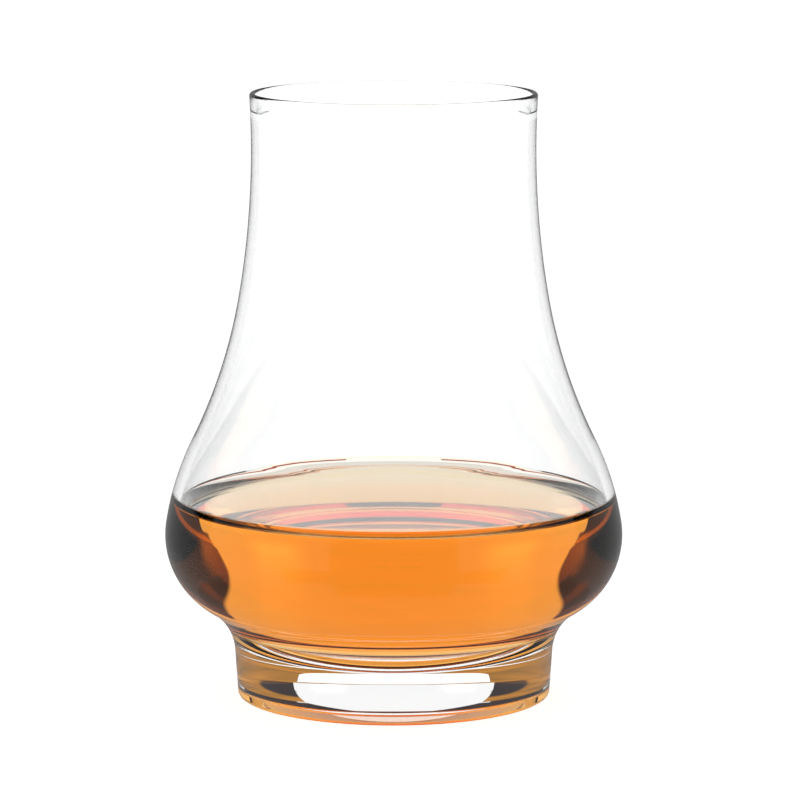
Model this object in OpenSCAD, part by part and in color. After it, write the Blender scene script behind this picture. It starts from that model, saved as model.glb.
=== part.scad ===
// Tulip-shaped nosing glass on a solid foot, with a pour of whisky.
// The origin is on the axis at table height, and +Z points up to the rim.

/* [Overall] */
// Height from the table to the top of the rim
height = 116; // [108:0.5:126]

/* [Chimney] */
// Outer diameter at the throat, the narrowest place under the rim
throat_d = 54.1; // [50:0.1:59]
// Height of the lip, from the throat up to the rim
lip_h = 10.2; // [6:0.1:15]

/* [Bowl] */
// Outer diameter at the widest place
bowl_d = 87.7; // [82:0.1:95]
// Height of the widest place above the table
bowl_z = 31.3; // [28:0.1:36]
// Radius of the bulge round the widest place
bulge_r = 16.1; // [14:0.1:18.5]
// Glass between the middle of the floor and the seal on the foot
base_t = 2.6; // [1.5:0.1:4]

/* [Wall] */
// Wall thickness at the rounded rim
wall_rim = 1.1; // [0.8:0.05:1.8]
// Wall thickness from the shoulder down
wall_bowl = 1.9; // [1.3:0.05:2.6]

/* [Foot] */
// Diameter of the foot at the table, before its edge is rounded
foot_d = 59.9; // [55:0.1:66]
// Height of the seal, where the bowl is fused to the foot
seal_z = 5.5; // [4.5:0.1:6.5]
// Height of the tapered side, from the table up to the waist
side_h = 8.8; // [7.5:0.1:11]
// Taper of the side, in degrees from upright
foot_taper = 3.9; // [1:0.1:7]
// Radius of the rounded lower edge
foot_edge_r = 0.9; // [0.4:0.1:2.5]
// Width of the flat ring that rests on the table
ring_w = 1.3; // [0.8:0.1:3]
// Height of the step inside the ring
step_h = 1.8; // [1:0.1:2.4]
// Lean of the step's wall, in degrees from upright
step_lean = 24; // [10:1:40]
// Rise of the punt, the shallow dome inside the step
punt_h = 0.6; // [0.3:0.1:1.4]

/* [Whisky] */
// Height of the whisky's surface above the widest place
fill_h = 5.7; // [4:0.1:13]
// Radius of the meniscus where the whisky climbs the wall
meniscus_r = 1.7; // [0.8:0.1:2.6]

/* [Hidden] */

// Facets round the axis
$fn = 144;

// Largest gap between an arc and its chords
arc_gap = 0.01;

// Space left between the whisky and the glass
film_gap = 0.05;

// Radius of the shoulder as a share of the radius of the flare above it
shoulder_share = 0.54;

// Radius of the chimney as a share of the radius that the whole swing would have
chimney_share = 0.956;

// Lean of the wall where the chimney passes into the flare, as a share of its swing
chimney_lean_share = 0.394;

// Lean of the wall where the shoulder passes into the bulge, as a share of its swing
bulge_lean_share = 0.362;

glass_colour = [0.9, 0.94, 0.95, 0.4];
whisky_colour = [0.93, 0.5, 0.13, 0.85];

throat_z = height - lip_h;
bowl_r = bowl_d / 2;
foot_r = foot_d / 2;
fill_z = bowl_z + fill_h;

// Swing of the wall: the lean it would reach with one arc down from the throat and one up from the bulge
swing = 2 * atan2(bowl_r - throat_d / 2, throat_z - bowl_z);
swing_r = (throat_z - bowl_z) / sin(swing);
chimney_r = chimney_share * swing_r;
chimney_lean = chimney_lean_share * swing;
bulge_lean = bulge_lean_share * swing;

// Unit vector in the half plane of the profile, by its angle above level
function heading(angle) = [cos(angle), sin(angle)];

// Number of chords for an arc
function chords(radius, turn) = max(2, ceil(abs(turn) / (2 * acos(1 - arc_gap / abs(radius)))));

// Angles along an arc
function angles(radius, from, to) =
    let (count = chords(radius, to - from))
    [for (i = [0 : count]) from + (to - from) * i / count];

// Points along an arc; a negative radius puts the centre outside the wall
function arc(centre, radius, from, to) =
    [for (angle = angles(radius, from, to)) centre + radius * heading(angle)];

// A list without its first point, which the arc before it already has
function after_first(points) = [for (i = [1 : len(points) - 1]) points[i]];

// A list in the opposite order
function reversed(points) = [for (i = [len(points) - 1 : -1 : 0]) points[i]];

// Chimney: one arc through the throat, from the lip down to where the flare starts
chimney_centre = [throat_d / 2 + chimney_r, throat_z];
lip_angle = -asin((lip_h - wall_rim / 2) / (chimney_r + wall_rim / 2));
lip_centre = chimney_centre - (chimney_r + wall_rim / 2) * heading(lip_angle);
chimney_end = chimney_centre - chimney_r * heading(chimney_lean);

// Bulge: one arc round the widest place
bulge_centre = [bowl_r - bulge_r, bowl_z];
bulge_start = bulge_centre + bulge_r * heading(bulge_lean);

// Flare and shoulder: two arcs that join the chimney to the bulge with no corner
flare_reach = chimney_end - bulge_start;
flare_mix = heading(chimney_lean) + shoulder_share * heading(bulge_lean);
flare_pull = flare_reach * flare_mix;
flare_bend = pow(1 + shoulder_share, 2) - flare_mix * flare_mix;
flare_span = flare_reach * flare_reach;
flare_r = flare_span / (sqrt(pow(flare_pull, 2) + flare_bend * flare_span) - flare_pull);
shoulder_r = shoulder_share * flare_r;
flare_centre = chimney_end + flare_r * heading(chimney_lean);
shoulder_centre = bulge_start - shoulder_r * heading(bulge_lean);
shoulder_line = flare_centre - shoulder_centre;
shoulder_lean = atan2(shoulder_line[1], shoulder_line[0]);
shoulder_z = shoulder_centre[1] + shoulder_r * sin(shoulder_lean);

// Inside of the bulge and the dished floor that it rolls into
roll_r = bulge_r - wall_bowl;
floor_z = seal_z + base_t;
floor_drop = bowl_z - roll_r - floor_z;
dish_r = (pow(bulge_centre[0], 2) + pow(roll_r + floor_drop, 2) - pow(roll_r, 2)) / (2 * floor_drop);
dish_centre = [0, floor_z + dish_r];
dish_line = bulge_centre - dish_centre;
dish_lean = atan2(dish_line[1], dish_line[0]);

// Waist: one arc that touches the bulge, and the side of the foot at its top
seal = [foot_r + seal_z * tan(foot_taper), seal_z];
side_top = [foot_r + side_h * tan(foot_taper), side_h];
foot_out = heading(-foot_taper);
foot_up = heading(90 - foot_taper);
waist_reach = side_top - bulge_centre;
waist_r = (waist_reach * waist_reach - pow(bulge_r, 2)) / (2 * (bulge_r - waist_reach * foot_out));
waist_centre = side_top + waist_r * foot_out;
waist_line = waist_centre - bulge_centre;
waist_lean = atan2(waist_line[1], waist_line[0]);

// Foot: rounded edge, resting ring, step and punt
edge_rise = foot_edge_r * (1 - sin(foot_taper)) / cos(foot_taper);
edge_centre = [foot_r, 0] - foot_edge_r * foot_out + edge_rise * foot_up;
ring_r = edge_centre[0] - ring_w;
punt_r = ring_r - step_h * tan(step_lean);
punt_curve_r = (pow(punt_r, 2) + pow(punt_h, 2)) / (2 * punt_h);
punt_centre = [0, step_h + punt_h - punt_curve_r];
punt_lean = acos(punt_r / punt_curve_r);

// Wall thickness at a height on the outside: thin at the rim, full from the shoulder down
function wall_at(z) = wall_rim + (wall_bowl - wall_rim) * (lip_centre[1] - z) / (lip_centre[1] - shoulder_z);

// Outside of an arc of the chimney or the flare, or its inside with the wall taken off
function upper_arc(centre, radius, from, to, inside) =
    [for (angle = angles(radius, from, to))
        let (outer = centre - radius * heading(angle))
        inside ? outer - wall_at(outer[1]) * heading(angle) : outer];

// Chimney and flare from the lip down
function upper_wall(inside) = concat(
    upper_arc(chimney_centre, chimney_r, lip_angle, chimney_lean, inside),
    after_first(upper_arc(flare_centre, flare_r, chimney_lean, shoulder_lean, inside)));

// Shoulder and bulge, set in from the outside of the glass, between two leans of the wall
function lower_wall(inset, from, to) = concat(
    arc(shoulder_centre, shoulder_r - inset, from, bulge_lean),
    after_first(arc(bulge_centre, bulge_r - inset, bulge_lean, to)));

// Inside of the bowl from a lean of the wall down to the middle of the floor
function basin(inset, from) = concat(
    lower_wall(inset, from, dish_lean),
    after_first(arc(dish_centre, dish_r - (inset - wall_bowl), dish_lean, -90)));

// Blown bowl with its chimney, from the rounded rim down to the seal on the foot
module bowl() {
    lip = arc(lip_centre, wall_rim / 2, lip_angle + 180, lip_angle);
    outside = concat(
        upper_wall(false),
        after_first(lower_wall(0, shoulder_lean, waist_lean)),
        after_first(arc(waist_centre, -waist_r, waist_lean, -foot_taper)),
        [seal]);
    inside = concat(upper_wall(true), after_first(basin(wall_bowl, shoulder_lean)));
    color(glass_colour)
        rotate_extrude()
            polygon(concat(
                after_first(lip),
                after_first(outside),
                [[0, seal_z]],
                reversed(inside)));
}

// Solid pressed foot with its rounded edge, resting ring, step and punt
module foot() {
    edge = arc(edge_centre, foot_edge_r, -foot_taper, -90);
    punt = arc(punt_centre, punt_curve_r, punt_lean, 90);
    color(glass_colour)
        rotate_extrude()
            polygon(concat([[0, seal_z], seal], edge, [[ring_r, 0]], punt));
}

// Whisky with its meniscus, filling the bowl up to the surface
module whisky() {
    inset = wall_bowl + film_gap;
    contact_share = (fill_z + meniscus_r - shoulder_centre[1]) / (shoulder_r - inset - meniscus_r);
    contact_lean = asin(contact_share);
    meniscus_centre = shoulder_centre + (shoulder_r - inset - meniscus_r) * heading(contact_lean);
    meniscus = arc(meniscus_centre, meniscus_r, -90, contact_lean);
    color(whisky_colour)
        rotate_extrude()
            polygon(concat([[0, fill_z]], meniscus, after_first(basin(inset, contact_lean))));
}

bowl();
foot();
whisky();
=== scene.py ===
import math
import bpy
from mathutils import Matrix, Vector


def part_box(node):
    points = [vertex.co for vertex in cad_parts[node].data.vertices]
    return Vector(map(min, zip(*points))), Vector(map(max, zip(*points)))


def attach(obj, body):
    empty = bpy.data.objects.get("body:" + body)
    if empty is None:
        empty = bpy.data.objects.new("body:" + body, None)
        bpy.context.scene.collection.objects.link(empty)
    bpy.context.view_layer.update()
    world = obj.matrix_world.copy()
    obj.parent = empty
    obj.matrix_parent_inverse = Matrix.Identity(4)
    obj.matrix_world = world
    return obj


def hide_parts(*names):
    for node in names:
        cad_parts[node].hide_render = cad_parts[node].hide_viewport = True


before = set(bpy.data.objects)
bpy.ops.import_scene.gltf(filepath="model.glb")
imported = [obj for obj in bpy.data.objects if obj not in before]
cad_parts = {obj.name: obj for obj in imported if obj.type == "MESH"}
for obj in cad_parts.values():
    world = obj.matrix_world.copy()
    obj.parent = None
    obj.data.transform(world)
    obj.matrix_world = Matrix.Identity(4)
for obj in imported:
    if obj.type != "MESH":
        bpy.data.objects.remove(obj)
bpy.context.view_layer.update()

from types import SimpleNamespace

import bpy
from bpy.props import FloatProperty, FloatVectorProperty, IntProperty, PointerProperty
from mathutils import Vector

bl_info = {
    "name": "Whisky Nosing Glass",
    "version": (1, 0, 0),
    "blender": (4, 5, 0),
    "location": "View3D > Sidebar > Glass",
    "description": "Blows a nosing glass, pours the whisky and sets the table with its light and camera",
    "category": "Object",
}

MM = 0.001
WHITE = (1, 1, 1, 1)

# How far light bends; where whisky wets the wall, the glass bends it for both and the whisky not at all
GLASS_IOR = 1.52
WHISKY_IOR = 1.36
WALL_IOR = 1.0

# Paler, softer zone at the rim
RIM_IOR = 1.33
RIM_ROUGHNESS = 0.06
RIM_DEPTH = 4 * MM

# Fineness of the turned pieces; a face that looks outward by less than the limit counts as level
FEWEST_CHORDS = 4
CHORD_GAP = 0.0015 * MM
WELD_GAP = 0.001 * MM
OUTWARD_LIMIT = 1e-6

# Marks that blowing leaves
RIPPLE_DETAIL = 1.0
CORD_WAVER = 6.0

# Floor, cards and camera; the cards glow with painted amber caustic light and carry a painted shade lens; the
# pool is the evenly lit floor, as a share of the softbox's size
FLOOR_WIDTH = 6.0
FLOOR_GAP = 0.05 * MM
POOL_SHARE = 1 / 3
CARD_STEPS = 48
CARD_STREAKS = (20.0, 20.0, 600.0)
STREAK_DULL = 0.35
STREAK_BRIGHT = 0.65
# Softness of the painted shade lens on the cards
SHADE_LENS_EDGE = 0.25
SENSOR_WIDTH = 36.0

bowl_low, bowl_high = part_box("bowl")
foot_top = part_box("foot")[1].z


# Sizes, finishes and light that a user would change

class GlassSizes(bpy.types.PropertyGroup):
    """The glass's outline, from the rim down to the table."""

    height: FloatProperty(
        name="Height", description="From the table to the top of the rim",
        default=bowl_high.z, min=0.0, unit="LENGTH", precision=4)
    throat_d: FloatProperty(
        name="Throat diameter", description="Outside, at the narrowest place under the rim",
        default=54.1 * MM, min=0.0, unit="LENGTH", precision=4)
    lip_h: FloatProperty(
        name="Lip height", description="From the throat up to the rim",
        default=10.2 * MM, min=0.0, unit="LENGTH", precision=4)
    bowl_d: FloatProperty(
        name="Bowl diameter", description="Outside, at the widest place",
        default=bowl_high.x - bowl_low.x, min=0.0, unit="LENGTH", precision=4)
    bowl_z: FloatProperty(
        name="Bowl height", description="Height of the widest place above the table",
        default=31.3 * MM, min=0.0, unit="LENGTH", precision=4)
    bulge_r: FloatProperty(
        name="Bulge radius", description="Round of the section at the widest place",
        default=16.1 * MM, min=0.0, unit="LENGTH", precision=4)
    seal_z: FloatProperty(
        name="Seal height", description="Height at which the bowl is fused to the foot",
        default=foot_top, min=0.0, unit="LENGTH", precision=4)
    base_t: FloatProperty(
        name="Base thickness", description="Glass between the middle of the floor and the seal",
        default=2.6 * MM, min=0.0, unit="LENGTH", precision=4)
    wall_rim: FloatProperty(
        name="Rim thickness", description="Wall at the rounded rim",
        default=1.1 * MM, min=0.0, unit="LENGTH", precision=4)
    wall_bowl: FloatProperty(
        name="Bowl thickness", description="Wall from the shoulder down",
        default=1.9 * MM, min=0.0, unit="LENGTH", precision=4)
    foot_d: FloatProperty(
        name="Foot diameter", description="At the table, before the edge is rounded",
        default=59.9 * MM, min=0.0, unit="LENGTH", precision=4)
    side_h: FloatProperty(
        name="Side height", description="From the table up the tapered side to the waist",
        default=8.8 * MM, min=0.0, unit="LENGTH", precision=4)
    foot_taper: FloatProperty(
        name="Foot taper", description="Lean of the foot's side from upright",
        default=math.radians(3.9), subtype="ANGLE")
    foot_edge_r: FloatProperty(
        name="Foot edge radius", description="Round of the foot's lower edge",
        default=0.9 * MM, min=0.0, unit="LENGTH", precision=4)
    ring_w: FloatProperty(
        name="Ring width", description="Flat ring under the foot that rests on the table",
        default=1.3 * MM, min=0.0, unit="LENGTH", precision=4)
    ring_edge_r: FloatProperty(
        name="Ring edge radius", description="Round of the ring's inner edge",
        default=0.4 * MM, min=0.0, unit="LENGTH", precision=4)
    step_h: FloatProperty(
        name="Step height", description="Height of the step inside the ring",
        default=1.8 * MM, min=0.0, unit="LENGTH", precision=4)
    step_lean: FloatProperty(
        name="Step lean", description="Lean of the step's wall from upright",
        default=math.radians(24), subtype="ANGLE")
    step_corner_r: FloatProperty(
        name="Step corner radius", description="Round where the step meets the punt",
        default=0.6 * MM, min=0.0, unit="LENGTH", precision=4)
    punt_h: FloatProperty(
        name="Punt rise", description="Rise of the shallow dome inside the step",
        default=0.6 * MM, min=0.0, unit="LENGTH", precision=4)
    segments: IntProperty(
        name="Segments", description="Facets round the axis", default=192, min=32)


class WhiskySizes(bpy.types.PropertyGroup):
    """How far the pour fills the bowl."""

    fill_h: FloatProperty(
        name="Fill height", description="Surface of the whisky above the widest place",
        default=5.7 * MM, min=0.0, unit="LENGTH", precision=4)
    meniscus_r: FloatProperty(
        name="Meniscus radius", description="Round where the whisky climbs the wall",
        default=1.7 * MM, min=0.0, unit="LENGTH", precision=4)
    film_gap: FloatProperty(
        name="Film gap", description="Space left between the whisky and the wall that it wets",
        default=0.05 * MM, min=0.0, unit="LENGTH", precision=5)


class Finishes(bpy.types.PropertyGroup):
    """Colours of the glass and the whisky, and the marks that blowing leaves."""

    glass_tint: FloatVectorProperty(
        name="Glass tint", description="Faint tint of the glass where it is deepest",
        subtype="COLOR", size=3, default=(0.985, 0.995, 0.992), min=0.0, max=1.0)
    ripple_h: FloatProperty(
        name="Ripple height", description="Height of the faint ripples that blowing leaves in the glass",
        default=0.004 * MM, min=0.0, unit="LENGTH", precision=6)
    ripple_scale: FloatProperty(
        name="Ripple scale", description="Ripples of the glass in each metre",
        default=60.0, min=0.0)
    surface_h: FloatProperty(
        name="Surface ripple", description="Height of the ripples on the whisky's surface",
        default=0.0005 * MM, min=0.0, unit="LENGTH", precision=7)
    whisky_colour: FloatVectorProperty(
        name="Whisky colour", description="Light that the whisky lets through",
        subtype="COLOR", size=3, default=(0.995, 0.68, 0.046), min=0.0, max=1.0)
    whisky_strength: FloatProperty(
        name="Whisky strength", description="Light that the whisky takes, for each metre",
        default=50.0, min=0.0)
    whisky_tint: FloatVectorProperty(
        name="Whisky skin tint", description="Faint tint of the whisky's skin",
        subtype="COLOR", size=3, default=(1.0, 0.99, 0.975), min=0.0, max=1.0)


class StageLight(bpy.types.PropertyGroup):
    """The table, its surroundings and the camera. Turns are counted from straight behind the glass."""

    panel_gain: FloatProperty(
        name="Panel gain", description="Light of the white panel behind the glass; 1 is white",
        default=1.03, min=0.0)
    table_gain: FloatProperty(
        name="Table gain", description="Light of the white table that the glass gathers; 1 is white",
        default=1.17, min=0.0)
    near_dip: FloatProperty(
        name="Near table dip", description="Dip under which the table close to the glass is seen",
        default=math.radians(28), subtype="ANGLE")
    near_gain: FloatProperty(
        name="Near table gain", description="Light of the table close to the glass; 1 is white",
        default=0.86, min=0.0)
    mirror_share: FloatProperty(
        name="Mirror share", description="Share of the room's light that reaches the outside of the glass",
        default=0.25, min=0.0, max=1.0)
    ceiling_rise: FloatProperty(
        name="Ceiling rise", description="Rise at which the dark part of the ceiling starts at the sides",
        default=math.radians(17), subtype="ANGLE")
    gable_turn: FloatProperty(
        name="Gable turn", description="Turn inside which the ceiling begins higher up",
        default=math.radians(24), subtype="ANGLE")
    gable_slope: FloatProperty(
        name="Gable slope", description="Rise of the ceiling's edge for each degree inside that turn",
        default=1.1, min=0.0)
    gable_rise: FloatProperty(
        name="Gable rise", description="Most that the ceiling's edge rises in the middle",
        default=math.radians(14), subtype="ANGLE")
    ceiling_end: FloatProperty(
        name="Ceiling end", description="Rise at which the ceiling is white again",
        default=math.radians(58), subtype="ANGLE")
    front_turn: FloatProperty(
        name="Front turn", description="Turn at which the room in front of the glass starts",
        default=math.radians(148), subtype="ANGLE")
    front_rise: FloatProperty(
        name="Front rise", description="Rise over which the room in front is dark",
        default=math.radians(-41), subtype="ANGLE")
    front_top: FloatProperty(
        name="Front top", description="Rise over which the room in front is light again",
        default=math.radians(40), subtype="ANGLE")
    mat_turn: FloatProperty(
        name="Mat turn", description="Turn at which the dark mat before the glass begins",
        default=math.radians(122), subtype="ANGLE")
    mat_near: FloatProperty(
        name="Mat near edge", description="Rise of the mat's edge on the side of the glass",
        default=math.radians(-25), subtype="ANGLE")
    mat_far: FloatProperty(
        name="Mat far edge", description="Rise of the mat's edge away from the glass",
        default=math.radians(-8), subtype="ANGLE")
    mat_edge: FloatProperty(
        name="Mat softness", description="Turn over which the edges of the mat fade",
        default=math.radians(5), subtype="ANGLE")
    edge_turn: FloatProperty(
        name="Edge softness", description="Turn over which an edge of the surroundings fades",
        default=math.radians(1.6), subtype="ANGLE")
    dark: FloatVectorProperty(
        name="Dark", description="Colour of the dark parts of the room",
        subtype="COLOR", size=3, default=(0.05, 0.04, 0.042), min=0.0, max=1.0)
    lamp_turn: FloatProperty(
        name="Lamp turn", description="Turn of the two brighter fields of the panel",
        default=math.radians(17), subtype="ANGLE")
    lamp_turn_half: FloatProperty(
        name="Lamp half width", description="Half the turn that a brighter field takes up",
        default=math.radians(4), subtype="ANGLE")
    lamp_rise: FloatProperty(
        name="Lamp rise", description="Rise of the middle of the brighter fields",
        default=math.radians(6), subtype="ANGLE")
    lamp_rise_half: FloatProperty(
        name="Lamp half height", description="Half the rise that a brighter field takes up",
        default=math.radians(4), subtype="ANGLE")
    lamp_edge: FloatProperty(
        name="Lamp softness", description="Turn over which a brighter field fades",
        default=math.radians(5), subtype="ANGLE")
    lamp_gain: FloatProperty(
        name="Lamp gain", description="Light that a brighter field adds to the panel", default=0.3, min=0.0)
    wing_turn: FloatProperty(
        name="Wing turn", description="Turn from straight behind at which the dark wings begin, low down",
        default=math.radians(34), subtype="ANGLE")
    wing_end: FloatProperty(
        name="Wing end", description="Turn at which the wings end",
        default=math.radians(75), subtype="ANGLE")
    wing_shift: FloatProperty(
        name="Wing shift", description="Turn by which the wings come nearer higher up",
        default=math.radians(6), subtype="ANGLE")
    wing_bend: FloatProperty(
        name="Wing bend", description="Rise at which the wings come nearer",
        default=math.radians(10.6), subtype="ANGLE")
    wing_rise: FloatProperty(
        name="Wing rise", description="Rise over which the wings are dark",
        default=math.radians(3.5), subtype="ANGLE")
    collar_r: FloatProperty(
        name="Collar distance", description="From the axis to the white collar round the chimney",
        default=46 * MM, unit="LENGTH", precision=4)
    collar_low: FloatProperty(
        name="Collar foot", description="Height of the collar's lower edge",
        default=37 * MM, unit="LENGTH", precision=4)
    collar_high: FloatProperty(
        name="Collar top", description="Height of the collar's upper edge",
        default=150 * MM, unit="LENGTH", precision=4)
    low_r: FloatProperty(
        name="Low card distance", description="From the axis to the low card behind the foot",
        default=70 * MM, unit="LENGTH", precision=4)
    low_dip: FloatProperty(
        name="Low card depth", description="Part of the low card under the table's top",
        default=5 * MM, unit="LENGTH", precision=4)
    low_rise: FloatProperty(
        name="Low card height", description="Height of the low card over the table",
        default=5.3 * MM, unit="LENGTH", precision=4)
    low_gap_rise: FloatProperty(
        name="Gap height", description="Height of the round gap in the low card's foot",
        default=3.5 * MM, unit="LENGTH", precision=4)
    low_gap_turn: FloatProperty(
        name="Gap turn", description="Half the width of the gap",
        default=math.radians(12.2), subtype="ANGLE")
    card_skirt: FloatProperty(
        name="Card skirt", description="Height of the lower edge of the strip that joins the cards",
        default=5 * MM, unit="LENGTH", precision=4)
    skirt_turn: FloatProperty(
        name="Skirt turn", description="Turn of the strip's inner edge",
        default=math.radians(5), subtype="ANGLE")
    card_r: FloatProperty(
        name="Card distance", description="From the axis to the cards behind the foot's sides",
        default=120 * MM, unit="LENGTH", precision=4)
    card_low: FloatProperty(
        name="Card foot", description="Height of the cards' lower edge",
        default=10.4 * MM, unit="LENGTH", precision=4)
    card_high: FloatProperty(
        name="Card top", description="Height of the cards' upper edge",
        default=36 * MM, unit="LENGTH", precision=4)
    card_turn: FloatProperty(
        name="Card turn", description="Turn of the cards' bowed inner edge where they are nearest each other",
        default=math.radians(16.5), subtype="ANGLE")
    card_bow: FloatProperty(
        name="Card bow", description="Turn by which the inner edge bows out half way up",
        default=math.radians(3), subtype="ANGLE")
    # Painted shade: a dark lens drawn on the glowing cards
    shade_lens_turn: FloatProperty(
        name="Lens length", description="Turn from the inner edge to the tip of the dark lens on a card",
        default=math.radians(16), subtype="ANGLE")
    shade_lens_z: FloatProperty(
        name="Lens height", description="Height of the lens above the table",
        default=20.5 * MM, unit="LENGTH", precision=4)
    shade_lens_half: FloatProperty(
        name="Lens half", description="Half the width of the lens",
        default=10.5 * MM, unit="LENGTH", precision=4)
    card_end: FloatProperty(
        name="Card end", description="Turn at which the warm cards end",
        default=math.radians(68), subtype="ANGLE")
    # Painted caustic light: the glowing cards are streaked between these two colours
    caustic_orange: FloatVectorProperty(
        name="Card orange", description="Brighter streaks of the warm cards",
        subtype="COLOR", size=3, default=(0.62, 0.26, 0.05), min=0.0, max=1.0)
    caustic_olive: FloatVectorProperty(
        name="Card olive", description="Duller streaks of the warm cards",
        subtype="COLOR", size=3, default=(0.34, 0.17, 0.045), min=0.0, max=1.0)
    floor_glow: FloatProperty(
        name="Floor glow", description="Share of the floor's white that the softbox doesn't have to give",
        default=0.93, min=0.0, max=1.0)
    softbox_power: FloatProperty(
        name="Softbox power", description="Power of the softbox over the table",
        default=1.6, min=0.0, unit="POWER")
    softbox_size: FloatProperty(
        name="Softbox size", description="Side of the softbox, and its height over the table",
        default=900 * MM, unit="LENGTH", precision=4)
    camera_lens: FloatProperty(
        name="Lens", description="Focal length of the camera on a 36 mm sensor",
        default=209.7, unit="CAMERA")
    camera_distance: FloatProperty(
        name="Camera distance", description="From the camera to the middle of the glass",
        default=890.5 * MM, unit="LENGTH", precision=4)
    camera_pitch: FloatProperty(
        name="Camera pitch", description="How far the camera looks down",
        default=math.radians(8.605), subtype="ANGLE")
    aim_side: FloatProperty(
        name="Aim side", description="How far beside the axis the camera aims",
        default=1.2 * MM, unit="LENGTH", precision=5)
    aim_drop: FloatProperty(
        name="Aim drop", description="How far under the middle of the glass the camera aims",
        default=0.93 * MM, unit="LENGTH", precision=5)


# Outline of the glass, as arcs that touch

# Radius of the shoulder as a share of the radius of the flare above it
SHOULDER_SHARE = 0.54

# Radius of the chimney as a share of the radius that the whole swing would have
CHIMNEY_SHARE = 0.956

# Lean of the wall where the chimney ends and where the bulge begins, as shares of the swing
CHIMNEY_LEAN_SHARE = 0.394
BULGE_LEAN_SHARE = 0.362


def heading(angle):
    """Unit step in the section, as (radius, height)."""
    return Vector((math.cos(angle), math.sin(angle)))


def bearing(step):
    """Angle of a step in the section."""
    return math.atan2(step.y, step.x)


def arc(centre, radius, start, end):
    """Points on an arc, both ends included. A negative radius makes a hollow arc."""
    turn = 2 * math.acos(1 - CHORD_GAP / abs(radius))
    steps = max(FEWEST_CHORDS, math.ceil(abs(end - start) / turn))
    return [centre + radius * heading(start + (end - start) * i / steps) for i in range(steps + 1)]


def glass_curves(glass):
    """Centres, radii and leans of the arcs that make the glass's section."""
    c = SimpleNamespace()
    c.throat_z = glass.height - glass.lip_h
    c.bowl_r = glass.bowl_d / 2
    c.foot_r = glass.foot_d / 2
    c.wall_rim = glass.wall_rim
    c.wall_bowl = glass.wall_bowl

    rise = c.throat_z - glass.bowl_z
    swing = 2 * math.atan2(c.bowl_r - glass.throat_d / 2, rise)
    c.chimney_r = CHIMNEY_SHARE * rise / math.sin(swing)
    c.chimney_lean = CHIMNEY_LEAN_SHARE * swing
    c.bulge_lean = BULGE_LEAN_SHARE * swing
    c.chimney_centre = Vector((glass.throat_d / 2 + c.chimney_r, c.throat_z))
    lip_reach = c.chimney_r + glass.wall_rim / 2
    c.lip_angle = -math.asin((glass.lip_h - glass.wall_rim / 2) / lip_reach)
    c.lip_centre = c.chimney_centre - lip_reach * heading(c.lip_angle)
    chimney_end = c.chimney_centre - c.chimney_r * heading(c.chimney_lean)

    c.bulge_r = glass.bulge_r
    c.bulge_centre = Vector((c.bowl_r - c.bulge_r, glass.bowl_z))
    bulge_start = c.bulge_centre + c.bulge_r * heading(c.bulge_lean)
    reach = chimney_end - bulge_start
    mix = heading(c.chimney_lean) + SHOULDER_SHARE * heading(c.bulge_lean)
    pull = reach.dot(mix)
    bend = (1 + SHOULDER_SHARE) ** 2 - mix.dot(mix)
    span = reach.dot(reach)
    c.flare_r = span / (math.sqrt(pull ** 2 + bend * span) - pull)
    c.shoulder_r = SHOULDER_SHARE * c.flare_r
    c.flare_centre = chimney_end + c.flare_r * heading(c.chimney_lean)
    c.shoulder_centre = bulge_start - c.shoulder_r * heading(c.bulge_lean)
    c.shoulder_lean = bearing(c.flare_centre - c.shoulder_centre)
    c.shoulder_z = c.shoulder_centre.y + c.shoulder_r * math.sin(c.shoulder_lean)

    c.roll_r = c.bulge_r - c.wall_bowl
    c.floor_z = glass.seal_z + glass.base_t
    deep = glass.bowl_z - c.floor_z
    c.dish_r = (c.bulge_centre.x ** 2 + deep ** 2 - c.roll_r ** 2) / (2 * (deep - c.roll_r))
    c.dish_centre = Vector((0, c.floor_z + c.dish_r))
    c.dish_lean = bearing(c.bulge_centre - c.dish_centre)

    c.foot_taper = glass.foot_taper
    side_top = Vector((c.foot_r + glass.side_h * math.tan(c.foot_taper), glass.side_h))
    foot_out = heading(-c.foot_taper)
    foot_up = heading(math.pi / 2 - c.foot_taper)
    waist_reach = side_top - c.bulge_centre
    waist_gap = c.bulge_r - waist_reach.dot(foot_out)
    c.waist_r = (waist_reach.dot(waist_reach) - c.bulge_r ** 2) / (2 * waist_gap)
    c.waist_centre = side_top + c.waist_r * foot_out
    c.waist_lean = bearing(c.waist_centre - c.bulge_centre)

    c.edge_r = glass.foot_edge_r
    edge_rise = c.edge_r * (1 - math.sin(c.foot_taper)) / math.cos(c.foot_taper)
    c.edge_centre = Vector((c.foot_r, 0)) - c.edge_r * foot_out + edge_rise * foot_up
    c.step_lean = glass.step_lean
    c.ring_edge_r = glass.ring_edge_r
    c.step_corner_r = glass.step_corner_r
    ring_inner = Vector((c.edge_centre.x - glass.ring_w, 0))
    ring_shift = c.ring_edge_r * (1 - math.sin(c.step_lean)) / math.cos(c.step_lean)
    c.ring_edge_centre = ring_inner + Vector((ring_shift, c.ring_edge_r))
    punt_r = ring_inner.x - glass.step_h * math.tan(c.step_lean)
    c.punt_curve_r = (punt_r ** 2 + glass.punt_h ** 2) / (2 * glass.punt_h)
    c.punt_centre = Vector((0, glass.step_h + glass.punt_h - c.punt_curve_r))
    step_out = heading(c.step_lean)
    step_up = heading(c.step_lean + math.pi / 2)
    corner_start = ring_inner - c.step_corner_r * step_out
    corner_reach = corner_start - c.punt_centre
    along = corner_reach.dot(step_up)
    spare = (c.punt_curve_r - c.step_corner_r) ** 2 - corner_reach.dot(corner_reach)
    c.step_corner_centre = corner_start + (math.sqrt(along ** 2 + spare) - along) * step_up
    c.punt_lean = bearing(c.step_corner_centre - c.punt_centre)
    return c


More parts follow.
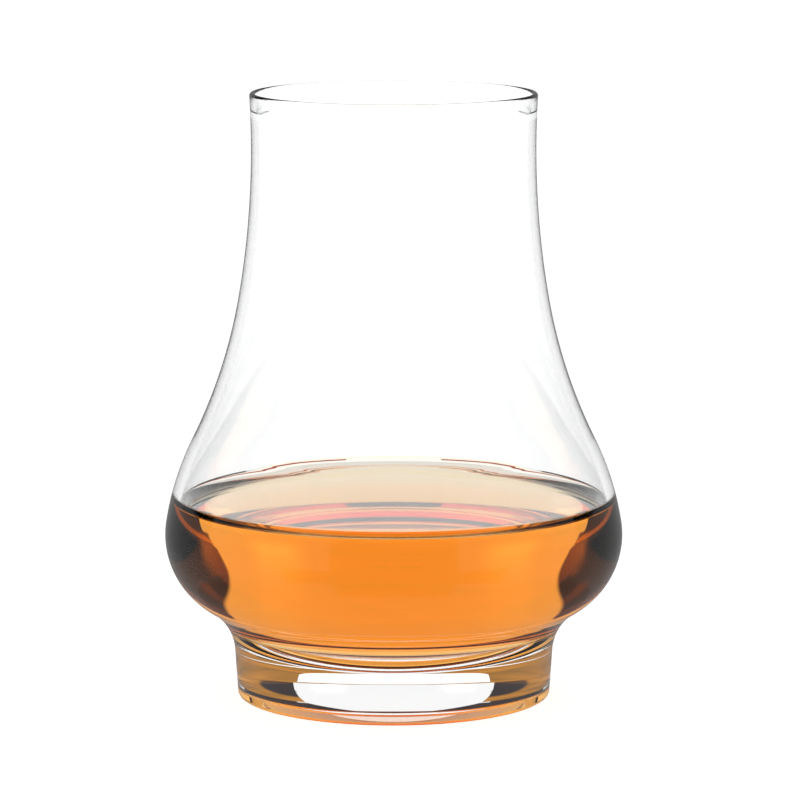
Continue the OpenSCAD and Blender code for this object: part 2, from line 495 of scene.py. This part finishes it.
def wall_at(c, z):
    """Wall thickness of the chimney and flare, which thin out towards the rim."""
    share = (c.lip_centre.y - z) / (c.lip_centre.y - c.shoulder_z)
    return c.wall_rim + (c.wall_bowl - c.wall_rim) * share


def hollow_pair(c, centre, radius, start, end):
    """Outer points of a hollow arc, and the inner ones a wall behind them."""
    outer = arc(centre, -radius, start, end)
    inner = [p - wall_at(c, p.y) * (centre - p).normalized() for p in outer]
    return outer, inner


def glass_section(c):
    """Half section of the glass: up the inside from the floor, over the lip and down to the punt."""
    chimney, chimney_in = hollow_pair(c, c.chimney_centre, c.chimney_r, c.lip_angle, c.chimney_lean)
    flare, flare_in = hollow_pair(c, c.flare_centre, c.flare_r, c.chimney_lean, c.shoulder_lean)
    shoulder_in = arc(c.shoulder_centre, c.shoulder_r - c.wall_bowl, c.shoulder_lean, c.bulge_lean)
    roll = arc(c.bulge_centre, c.roll_r, c.bulge_lean, c.dish_lean)
    dish = arc(c.dish_centre, c.dish_r, c.dish_lean, -math.pi / 2)
    inside = chimney_in + flare_in[1:] + shoulder_in[1:] + roll[1:] + dish[1:]

    lip = arc(c.lip_centre, c.wall_rim / 2, c.lip_angle + math.pi, c.lip_angle)
    shoulder = arc(c.shoulder_centre, c.shoulder_r, c.shoulder_lean, c.bulge_lean)
    bulge = arc(c.bulge_centre, c.bulge_r, c.bulge_lean, c.waist_lean)
    waist = arc(c.waist_centre, -c.waist_r, c.waist_lean, -c.foot_taper)
    edge = arc(c.edge_centre, c.edge_r, -c.foot_taper, -math.pi / 2)
    ring_edge = arc(c.ring_edge_centre, c.ring_edge_r, -math.pi / 2, c.step_lean - math.pi)
    step_corner = arc(c.step_corner_centre, c.step_corner_r, c.step_lean, c.punt_lean)
    punt = arc(c.punt_centre, c.punt_curve_r, c.punt_lean, math.pi / 2)
    upper = chimney + flare[1:] + shoulder[1:] + bulge[1:] + waist[1:]
    outside = upper + edge + ring_edge + step_corner + punt[1:]
    return inside[::-1] + lip[1:-1] + outside


def meniscus_round(c, whisky):
    """Centre of the meniscus's round, and the lean of the wall where the whisky ends."""
    fill_z = c.bulge_centre.y + whisky.fill_h
    reach = c.shoulder_r - c.wall_bowl - whisky.film_gap - whisky.meniscus_r
    contact_lean = math.asin((fill_z + whisky.meniscus_r - c.shoulder_centre.y) / reach)
    return c.shoulder_centre + reach * heading(contact_lean), contact_lean


def whisky_section(c, whisky):
    """Half section of the pour: out along the surface, up the meniscus and down the wall to the floor."""
    inset = c.wall_bowl + whisky.film_gap
    centre, contact_lean = meniscus_round(c, whisky)
    meniscus = arc(centre, whisky.meniscus_r, -math.pi / 2, contact_lean)
    side = arc(c.shoulder_centre, c.shoulder_r - inset, contact_lean, c.bulge_lean)
    roll = arc(c.bulge_centre, c.bulge_r - inset, c.bulge_lean, c.dish_lean)
    dish = arc(c.dish_centre, c.dish_r - whisky.film_gap, c.dish_lean, -math.pi / 2)
    return [Vector((0, meniscus[0].y))] + meniscus + side[1:] + roll[1:] + dish[1:]


# Geometry Nodes lathe

def lathe_tree():
    """Geometry Nodes tree that turns a half section, drawn in XZ, once round the Z axis."""
    tree = bpy.data.node_groups.new("Lathe", "GeometryNodeTree")
    face = tree.interface
    face.new_socket("Section", in_out="INPUT", socket_type="NodeSocketGeometry")
    face.new_socket("Segments", in_out="INPUT", socket_type="NodeSocketInt")
    face.new_socket("Weld", in_out="INPUT", socket_type="NodeSocketFloat")
    face.new_socket("Finish", in_out="INPUT", socket_type="NodeSocketMaterial")
    face.new_socket("Solid", in_out="OUTPUT", socket_type="NodeSocketGeometry")
    nodes = tree.nodes
    link = tree.links.new

    def math_node(operation, first, second=None):
        node = nodes.new("ShaderNodeMath")
        node.operation = operation
        for socket, value in zip(node.inputs, (first, second)):
            if isinstance(value, (int, float)):
                socket.default_value = value
            elif value is not None:
                link(value, socket)
        return node.outputs[0]

    given = nodes.new("NodeGroupInput").outputs
    count = nodes.new("GeometryNodeAttributeDomainSize")
    link(given["Section"], count.inputs["Geometry"])
    columns = math_node("ADD", given["Segments"], 1)
    sheet = nodes.new("GeometryNodeMeshGrid")
    link(count.outputs["Point Count"], sheet.inputs["Vertices X"])
    link(columns, sheet.inputs["Vertices Y"])

    index = nodes.new("GeometryNodeInputIndex").outputs[0]
    # Half a step keeps the division clear of rounding
    station = math_node("FLOOR", math_node("DIVIDE", math_node("ADD", index, 0.5), columns))
    column = math_node("SUBTRACT", index, math_node("MULTIPLY", station, columns))
    turn = math_node("DIVIDE", math_node("MULTIPLY", column, math.tau), given["Segments"])

    sample = nodes.new("GeometryNodeSampleIndex")
    sample.data_type = "FLOAT_VECTOR"
    link(given["Section"], sample.inputs["Geometry"])
    link(nodes.new("GeometryNodeInputPosition").outputs[0], sample.inputs["Value"])
    link(station, sample.inputs["Index"])
    point = nodes.new("ShaderNodeSeparateXYZ")
    link(sample.outputs[0], point.inputs[0])
    radius = point.outputs["X"]
    place = nodes.new("ShaderNodeCombineXYZ")
    link(math_node("MULTIPLY", radius, math_node("COSINE", turn)), place.inputs["X"])
    link(math_node("MULTIPLY", radius, math_node("SINE", turn)), place.inputs["Y"])
    link(point.outputs["Z"], place.inputs["Z"])

    wrap = nodes.new("GeometryNodeSetPosition")
    link(sheet.outputs["Mesh"], wrap.inputs["Geometry"])
    link(place.outputs[0], wrap.inputs["Position"])
    weld = nodes.new("GeometryNodeMergeByDistance")
    link(wrap.outputs[0], weld.inputs["Geometry"])
    link(given["Weld"], weld.inputs["Distance"])
    smooth = nodes.new("GeometryNodeSetShadeSmooth")
    link(weld.outputs[0], smooth.inputs["Geometry"])
    realize = nodes.new("GeometryNodeRealizeInstances")
    link(smooth.outputs[0], realize.inputs["Geometry"])
    finish = nodes.new("GeometryNodeSetMaterial")
    link(realize.outputs[0], finish.inputs["Geometry"])
    link(given["Finish"], finish.inputs["Material"])
    link(finish.outputs[0], nodes.new("NodeGroupOutput").inputs["Solid"])
    return tree


def turn_piece(name, section, segments, finish):
    """Turns a half section on the lathe and leaves a plain, closed mesh."""
    mesh = bpy.data.meshes.new(name)
    edges = [(i, i + 1) for i in range(len(section) - 1)]
    mesh.from_pydata([(p.x, 0.0, p.y) for p in section], edges, [])
    piece = bpy.data.objects.new(name, mesh)
    bpy.context.scene.collection.objects.link(piece)

    tree = bpy.data.node_groups.get("Lathe") or lathe_tree()
    values = {"Segments": segments, "Weld": WELD_GAP, "Finish": finish}
    lathe = piece.modifiers.new("Lathe", "NODES")
    lathe.node_group = tree
    for socket in tree.interface.items_tree:
        if socket.in_out == "INPUT" and socket.name in values:
            lathe[socket.identifier] = values[socket.name]
    depsgraph = bpy.context.evaluated_depsgraph_get()
    solid = bpy.data.meshes.new_from_object(piece.evaluated_get(depsgraph), depsgraph=depsgraph)
    piece.modifiers.remove(lathe)
    piece.data = solid
    solid.name = name
    return piece


def outward(face):
    """How far a face looks away from the axis."""
    return face.normal.x * face.center.x + face.normal.y * face.center.y


def refinish(piece, finish, chosen):
    """Gives another finish to the faces that a test picks."""
    finishes = piece.data.materials
    finishes.append(finish)
    for face in piece.data.polygons:
        if chosen(face):
            face.material_index = len(finishes) - 1


# Finishes

def join(tree, kind, *values, **settings):
    """Adds a node, gives it its settings, and links or sets its inputs in their order."""
    made = tree.nodes.new(kind)
    for name, value in settings.items():
        setattr(made, name, value)
    for socket, value in zip(made.inputs, values):
        if isinstance(value, bpy.types.NodeSocket):
            tree.links.new(value, socket)
        else:
            socket.default_value = value
    return made


def blown_skin():
    """Shader group with the ripples and the faint tint that change over a blown surface."""
    tree = bpy.data.node_groups.get("Blown skin")
    if tree:
        return tree
    tree = bpy.data.node_groups.new("Blown skin", "ShaderNodeTree")
    face = tree.interface
    face.new_socket("Ripple scale", in_out="INPUT", socket_type="NodeSocketFloat")
    face.new_socket("Tint", in_out="INPUT", socket_type="NodeSocketColor")
    face.new_socket("Height", in_out="OUTPUT", socket_type="NodeSocketFloat")
    face.new_socket("Colour", in_out="OUTPUT", socket_type="NodeSocketColor")
    given = tree.nodes.new("NodeGroupInput").outputs
    place = join(tree, "ShaderNodeTexCoord").outputs["Object"]
    ripple = join(tree, "ShaderNodeTexNoise")
    tree.links.new(place, ripple.inputs["Vector"])
    tree.links.new(given["Ripple scale"], ripple.inputs["Scale"])
    ripple.inputs["Detail"].default_value = RIPPLE_DETAIL
    cords = join(tree, "ShaderNodeTexWave", bands_direction="Z")
    tree.links.new(place, cords.inputs["Vector"])
    tree.links.new(given["Ripple scale"], cords.inputs["Scale"])
    cords.inputs["Distortion"].default_value = CORD_WAVER
    tint = join(tree, "ShaderNodeMix", data_type="RGBA")
    tree.links.new(cords.outputs["Fac"], tint.inputs["Factor"])
    white, tinted = [socket for socket in tint.inputs if socket.type == "RGBA"]
    white.default_value = WHITE
    tree.links.new(given["Tint"], tinted)
    colour = [socket for socket in tint.outputs if socket.type == "RGBA"][0]
    out = tree.nodes.new("NodeGroupOutput").inputs
    tree.links.new(ripple.outputs["Fac"], out["Height"])
    tree.links.new(colour, out["Colour"])
    return tree


def clear_material(name, ior, tint, ripple_scale, ripple_h, roughness=0.0):
    """Clear material with a rippled, faintly tinted skin."""
    material = bpy.data.materials.new(name)
    material.use_nodes = True
    tree = material.node_tree
    shader = tree.nodes["Principled BSDF"]
    shader.inputs["Roughness"].default_value = roughness
    shader.inputs["IOR"].default_value = ior
    shader.inputs["Transmission Weight"].default_value = 1.0
    skin = tree.nodes.new("ShaderNodeGroup")
    skin.node_tree = blown_skin()
    skin.inputs["Ripple scale"].default_value = ripple_scale
    skin.inputs["Tint"].default_value = (*tint, 1)
    bump = tree.nodes.new("ShaderNodeBump")
    bump.inputs["Distance"].default_value = ripple_h
    tree.links.new(skin.outputs["Height"], bump.inputs["Height"])
    tree.links.new(bump.outputs["Normal"], shader.inputs["Normal"])
    tree.links.new(skin.outputs["Colour"], shader.inputs["Base Color"])
    return material


def clear_glass(finishes, name, ior, roughness=0.0):
    """Clear blown glass."""
    skin = (finishes.glass_tint, finishes.ripple_scale, finishes.ripple_h)
    return clear_material(name, ior, *skin, roughness)


def whisky_gold(finishes, name, ior):
    """Amber whisky that deepens with the length of the light's way through it."""
    material = clear_material(name, ior, finishes.whisky_tint, finishes.ripple_scale, finishes.surface_h)
    tree = material.node_tree
    absorb = tree.nodes.new("ShaderNodeVolumeAbsorption")
    absorb.inputs["Color"].default_value = (*finishes.whisky_colour, 1)
    absorb.inputs["Density"].default_value = finishes.whisky_strength
    tree.links.new(absorb.outputs[0], tree.nodes["Material Output"].inputs["Volume"])
    return material


def glow_material(name):
    """Material that gives off white light, and the node that gives it."""
    material = bpy.data.materials.new(name)
    material.use_nodes = True
    tree = material.node_tree
    tree.nodes.remove(tree.nodes["Principled BSDF"])
    glow = join(tree, "ShaderNodeEmission", WHITE)
    tree.links.new(glow.outputs[0], tree.nodes["Material Output"].inputs["Surface"])
    return material, glow


# Operators

class BlowGlass(bpy.types.Operator):
    """Makes the glass's bowl and foot as one clear body"""

    bl_idname = "nosing_glass.blow_glass"
    bl_label = "Blow glass"

    def execute(self, context):
        scene = context.scene
        curves = glass_curves(scene.glass_sizes)
        finish = clear_glass(scene.finishes, "clear_glass", GLASS_IOR)
        body = turn_piece("glass_body", glass_section(curves), scene.glass_sizes.segments, finish)
        wet = clear_glass(scene.finishes, "wet_glass", GLASS_IOR / WHISKY_IOR)
        centre, lean = meniscus_round(curves, scene.whisky_sizes)
        top = centre.y + scene.whisky_sizes.meniscus_r * math.sin(lean)
        bottom = curves.floor_z - scene.whisky_sizes.film_gap
        refinish(body, wet, lambda face: outward(face) < OUTWARD_LIMIT and bottom < face.center.z < top)
        lip = scene.glass_sizes.height - RIM_DEPTH
        rim = clear_glass(scene.finishes, "rim_glass", RIM_IOR, RIM_ROUGHNESS)
        refinish(body, rim, lambda face: face.center.z > lip)
        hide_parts("bowl", "foot")
        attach(body, "root")
        return {"FINISHED"}


class PourWhisky(bpy.types.Operator):
    """Fills the bowl with whisky up to its meniscus"""

    bl_idname = "nosing_glass.pour_whisky"
    bl_label = "Pour whisky"

    def execute(self, context):
        scene = context.scene
        section = whisky_section(glass_curves(scene.glass_sizes), scene.whisky_sizes)
        finish = whisky_gold(scene.finishes, "whisky_gold", WHISKY_IOR)
        pour = turn_piece("whisky_pour", section, scene.glass_sizes.segments, finish)
        wall = whisky_gold(scene.finishes, "whisky_at_wall", WALL_IOR)
        refinish(pour, wall, lambda face: outward(face) > OUTWARD_LIMIT or face.normal.z < 0)
        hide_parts("whisky")
        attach(pour, "root")
        return {"FINISHED"}


class SetTable(bpy.types.Operator):
    """Lays the floor and sets the light, the cards and the camera"""

    bl_idname = "nosing_glass.set_table"
    bl_label = "Set table"

    def execute(self, context):
        scene = context.scene
        stage = scene.stage_light
        scene.view_settings.view_transform = "Standard"
        lay_floor(stage)
        hang_softbox(stage)
        stand_painted_caustic_cards(stage)
        hang_collar(stage)
        light_world(scene)
        aim_camera(scene)
        return {"FINISHED"}


def sheet(name, corners, faces, material):
    """A stage piece made of flat faces."""
    mesh = bpy.data.meshes.new(name)
    mesh.from_pydata(corners, [], faces)
    mesh.materials.append(material)
    piece = bpy.data.objects.new(name, mesh)
    bpy.context.scene.collection.objects.link(piece)
    return piece


def show_only(piece, *rays):
    """Lets only some kinds of rays meet a stage piece."""
    for ray in ("camera", "diffuse", "glossy", "transmission", "volume_scatter", "shadow"):
        setattr(piece, "visible_" + ray, ray in rays)


def lay_floor(stage):
    """A wide white floor just under the glass that keeps a faint shadow of it."""
    material, glow = glow_material("white_floor")
    tree = material.node_tree
    place = join(tree, "ShaderNodeTexCoord").outputs["Object"]
    away = join(tree, "ShaderNodeVectorMath", place, operation="LENGTH").outputs["Value"]
    pool = POOL_SHARE * stage.softbox_size
    spread = join(tree, "ShaderNodeMapRange", away, pool, stage.softbox_size, stage.floor_glow, 1.0)
    tree.links.new(spread.outputs[0], glow.inputs["Strength"])
    lit = join(tree, "ShaderNodeBsdfDiffuse", WHITE)
    both = join(tree, "ShaderNodeAddShader", glow.outputs[0], lit.outputs[0])
    tree.links.new(both.outputs[0], tree.nodes["Material Output"].inputs["Surface"])
    half = FLOOR_WIDTH / 2
    corners = [(x, y, -FLOOR_GAP) for x, y in ((-half, -half), (half, -half), (half, half), (-half, half))]
    floor = sheet("floor", corners, [(0, 1, 2, 3)], material)
    show_only(floor, "camera", "diffuse", "shadow")


def hang_softbox(stage):
    """A softbox over the table, which only the floor sees."""
    data = bpy.data.lights.new("softbox", "AREA")
    data.energy = stage.softbox_power
    data.size = stage.softbox_size
    softbox = bpy.data.objects.new("softbox", data)
    bpy.context.scene.collection.objects.link(softbox)
    softbox.location = (0, 0, stage.softbox_size)
    show_only(softbox, "diffuse")


def reckon(tree, operation, *values):
    """Output of a Math node."""
    return join(tree, "ShaderNodeMath", *values, operation=operation).outputs[0]


def fade(tree, value, edge, softness):
    """Soft step from 0 to 1 where a value passes an edge."""
    low, high = edge - softness / 2, edge + softness / 2
    step = join(tree, "ShaderNodeMapRange", value, low, high, interpolation_type="SMOOTHSTEP")
    return step.outputs[0]


def band(tree, value, low, high, softness):
    """1 where a value lies between two edges and 0 past them, with soft steps."""
    return reckon(tree, "SUBTRACT", fade(tree, value, low, softness), fade(tree, value, high, softness))


def turn_of(tree, across, along):
    """Turn of a place or a way from straight behind the glass, to either side."""
    return reckon(tree, "ABSOLUTE", reckon(tree, "ARCTAN2", across, along))


def painted_caustic_streaks(tree, stage, place):
    """Colour of the painted amber caustic glow on the cards, streaked along their length."""
    drawn = join(tree, "ShaderNodeVectorMath", place, CARD_STREAKS, operation="MULTIPLY").outputs[0]
    grain = join(tree, "ShaderNodeTexNoise")
    tree.links.new(drawn, grain.inputs["Vector"])
    grain.inputs["Scale"].default_value = 1.0
    streak = join(tree, "ShaderNodeValToRGB", grain.outputs["Fac"])
    dull, bright = streak.color_ramp.elements
    dull.position = STREAK_DULL
    dull.color = (*stage.caustic_olive, 1)
    bright.position = STREAK_BRIGHT
    bright.color = (*stage.caustic_orange, 1)
    return streak.outputs[0]


def painted_caustic_finish(stage):
    """Painted amber caustic streaks, with a painted shade lens at the inner edge of the upper cards."""
    material, glow = glow_material("painted_caustic_card")
    tree = material.node_tree
    place = join(tree, "ShaderNodeTexCoord").outputs["Object"]
    across, along, up = join(tree, "ShaderNodeSeparateXYZ", place).outputs
    # Painted shade: the dark lens, mixed over the painted caustic glow
    middle = stage.card_turn + stage.card_bow
    aside = reckon(tree, "SUBTRACT", turn_of(tree, across, along), middle)
    above = reckon(tree, "SUBTRACT", up, stage.shade_lens_z)
    shares = (
        reckon(tree, "DIVIDE", aside, stage.shade_lens_turn),
        reckon(tree, "DIVIDE", above, stage.shade_lens_half))
    squares = [reckon(tree, "MULTIPLY", share, share) for share in shares]
    away = reckon(tree, "SQRT", reckon(tree, "ADD", *squares))
    past = fade(tree, away, 1.0, SHADE_LENS_EDGE)
    shown = join(tree, "ShaderNodeMixRGB", past, (*stage.dark, 1), painted_caustic_streaks(tree, stage, place))
    tree.links.new(shown.outputs[0], glow.inputs["Color"])
    return material


def curved_pair(name, reach, levels, end, finish):
    """Left and right card on a circle round the glass; each level has a height and an inner turn."""
    corners = []
    faces = []
    for side in (-1, 1):
        first = len(corners)
        for z, start in levels:
            for step in range(CARD_STEPS + 1):
                turn = start + (end - start) * step / CARD_STEPS
                corners.append((side * reach * math.sin(turn), reach * math.cos(turn), z))
        for row in range(len(levels) - 1):
            low = first + row * (CARD_STEPS + 1)
            high = low + CARD_STEPS + 1
            faces += [(low + i, low + i + 1, high + i + 1, high + i) for i in range(CARD_STEPS)]
    show_only(sheet(name, corners, faces, finish), "transmission")


def stand_painted_caustic_cards(stage):
    """Cards behind the glass that glow with painted amber caustic light, which its foot shows."""
    finish = painted_caustic_finish(stage)
    quarter = math.pi / 2
    shares = [step / CARD_STEPS for step in range(CARD_STEPS + 1)]

    # Low card of painted caustic glow, with a round gap in the middle of its foot
    levels = []
    for share in shares:
        z = (stage.low_dip + stage.low_gap_rise) * math.sin(quarter * share) - stage.low_dip
        levels.append((z, stage.low_gap_turn * math.cos(quarter * share)))
    levels.append((stage.low_rise, 0.0))
    curved_pair("low_card", stage.low_r, levels, stage.card_end, finish)

    # Upper cards glow with the same painted caustic light
    # Upper cards, whose inner edges come nearer towards the top, and the strip under them
    levels = [(stage.card_skirt, stage.skirt_turn), (stage.card_low, stage.skirt_turn)]
    for share in shares:
        z = stage.card_low + (stage.card_high - stage.card_low) * share
        levels.append((z, stage.card_turn + stage.card_bow * math.cos(quarter * share ** 2)))
    curved_pair("painted_caustic_card", stage.card_r, levels, stage.card_end, finish)


def hang_collar(stage):
    """A white collar round the chimney, which keeps the thin glass light."""
    finish, glow = glow_material("white_collar")
    glow.inputs["Strength"].default_value = stage.table_gain
    levels = [(stage.collar_low, 0.0), (stage.collar_high, 0.0)]
    curved_pair("white_collar", stage.collar_r, levels, math.pi, finish)


def room_colour(tree, stage, turn, rise):
    """Colour of the surroundings: dark room and mat in front, ceiling above and wings at the sides."""
    soft = stage.edge_turn
    front = fade(tree, turn, stage.front_turn, soft)
    room = reckon(tree, "MULTIPLY", front, band(tree, rise, stage.front_rise, stage.front_top, soft))
    before = fade(tree, turn, stage.mat_turn, stage.mat_edge)
    mat = reckon(tree, "MULTIPLY", before, band(tree, rise, stage.mat_near, stage.mat_far, stage.mat_edge))
    room = reckon(tree, "MAXIMUM", room, mat)

    inside = reckon(tree, "MAXIMUM", reckon(tree, "SUBTRACT", stage.gable_turn, turn), 0.0)
    gable = reckon(tree, "MINIMUM", reckon(tree, "MULTIPLY", inside, stage.gable_slope), stage.gable_rise)
    under_gable = reckon(tree, "SUBTRACT", rise, gable)
    begun = fade(tree, under_gable, stage.ceiling_rise, soft)
    ceiling = reckon(tree, "SUBTRACT", begun, fade(tree, rise, stage.ceiling_end, soft))
    ceiling = reckon(tree, "MAXIMUM", ceiling, 0.0)

    bent = fade(tree, rise, stage.wing_bend, soft)
    nearer = reckon(tree, "MULTIPLY_ADD", bent, stage.wing_shift, turn)
    wide = band(tree, nearer, stage.wing_turn, stage.wing_end, soft)
    wing = reckon(tree, "MULTIPLY", wide, fade(tree, rise, stage.wing_rise, soft))

    dark = (*stage.dark, 1)
    sides = join(tree, "ShaderNodeMixRGB", wing, WHITE, dark).outputs[0]
    shade = reckon(tree, "MAXIMUM", room, ceiling)
    return join(tree, "ShaderNodeMixRGB", shade, sides, dark).outputs[0]


def room_strength(tree, stage, turn, rise):
    """Light of the surroundings: the panel with its two brighter fields, the table and the table close by."""
    panel = fade(tree, rise, 0.0, stage.edge_turn)
    far = join(tree, "ShaderNodeMapRange", panel, 0.0, 1.0, stage.table_gain, stage.panel_gain).outputs[0]
    past = fade(tree, rise, -stage.near_dip, stage.edge_turn)
    white = join(tree, "ShaderNodeMapRange", past, 0.0, 1.0, stage.near_gain, far).outputs[0]

    def field(value, middle, half):
        return band(tree, value, middle - half, middle + half, stage.lamp_edge)

    lamp = reckon(
        tree, "MULTIPLY",
        field(turn, stage.lamp_turn, stage.lamp_turn_half),
        field(rise, stage.lamp_rise, stage.lamp_rise_half))
    return reckon(tree, "MULTIPLY_ADD", lamp, stage.lamp_gain, white)


def light_world(scene):
    """White backdrop for the camera, and the surroundings that light the glass and show in it."""
    stage = scene.stage_light
    world = bpy.data.worlds.new("studio")
    world.use_nodes = True
    scene.world = world
    tree = world.node_tree
    way = join(tree, "ShaderNodeTexCoord").outputs["Generated"]
    across, along, up = join(tree, "ShaderNodeSeparateXYZ", way).outputs
    turn = turn_of(tree, across, along)
    rise = reckon(tree, "ARCSINE", up)

    ray = join(tree, "ShaderNodeLightPath").outputs
    mirrored = reckon(tree, "MULTIPLY_ADD", ray["Is Reflection Ray"], stage.mirror_share - 1.0, 1.0)
    not_floor = reckon(tree, "SUBTRACT", 1.0, ray["Is Diffuse Ray"])
    reach = reckon(tree, "MULTIPLY", mirrored, not_floor)
    strength = reckon(tree, "MULTIPLY", room_strength(tree, stage, turn, rise), reach)
    room = join(tree, "ShaderNodeBackground", room_colour(tree, stage, turn, rise), strength)
    backdrop = join(tree, "ShaderNodeBackground", WHITE, 1.0)
    mix = join(tree, "ShaderNodeMixShader", ray["Is Camera Ray"], room.outputs[0], backdrop.outputs[0])
    tree.links.new(mix.outputs[0], tree.nodes["World Output"].inputs["Surface"])


def aim_camera(scene):
    """The camera of the photograph."""
    stage = scene.stage_light
    data = bpy.data.cameras.new("camera")
    data.sensor_width = SENSOR_WIDTH
    data.lens = stage.camera_lens
    camera = bpy.data.objects.new("camera", data)
    scene.collection.objects.link(camera)
    middle = Vector((0, 0, scene.glass_sizes.height / 2))
    back = Vector((0, -math.cos(stage.camera_pitch), math.sin(stage.camera_pitch)))
    camera.location = middle + stage.camera_distance * back
    aim = middle + Vector((stage.aim_side, 0, -stage.aim_drop))
    camera.rotation_mode = "QUATERNION"
    camera.rotation_quaternion = (aim - camera.location).to_track_quat("-Z", "Y")
    scene.camera = camera


class GlassPanel(bpy.types.Panel):
    """Sizes and steps of the nosing glass"""

    bl_idname = "VIEW3D_PT_nosing_glass"
    bl_label = "Nosing glass"
    bl_space_type = "VIEW_3D"
    bl_region_type = "UI"
    bl_category = "Glass"

    def draw(self, context):
        for name, group in GROUPS.items():
            box = self.layout.box()
            box.label(text=group.__name__)
            for size in group.__annotations__:
                box.prop(getattr(context.scene, name), size)
        for step in STEPS:
            self.layout.operator(step.bl_idname)


STEPS = (BlowGlass, PourWhisky, SetTable)
GROUPS = {
    "glass_sizes": GlassSizes,
    "whisky_sizes": WhiskySizes,
    "finishes": Finishes,
    "stage_light": StageLight,
}


def register():
    """Registers the sizes, the operators and the panel."""
    for name, group in GROUPS.items():
        bpy.utils.register_class(group)
        setattr(bpy.types.Scene, name, PointerProperty(type=group))
    for step in STEPS:
        bpy.utils.register_class(step)
    bpy.utils.register_class(GlassPanel)


def unregister():
    """Takes them out again, the last one first."""
    bpy.utils.unregister_class(GlassPanel)
    for step in reversed(STEPS):
        bpy.utils.unregister_class(step)
    for name, group in reversed(GROUPS.items()):
        delattr(bpy.types.Scene, name)
        bpy.utils.unregister_class(group)


def main():
    """Builds the glass, the whisky and the stage."""
    register()
    bpy.ops.nosing_glass.blow_glass()
    bpy.ops.nosing_glass.pour_whisky()
    bpy.ops.nosing_glass.set_table()


if __name__ == "__main__":
    main()
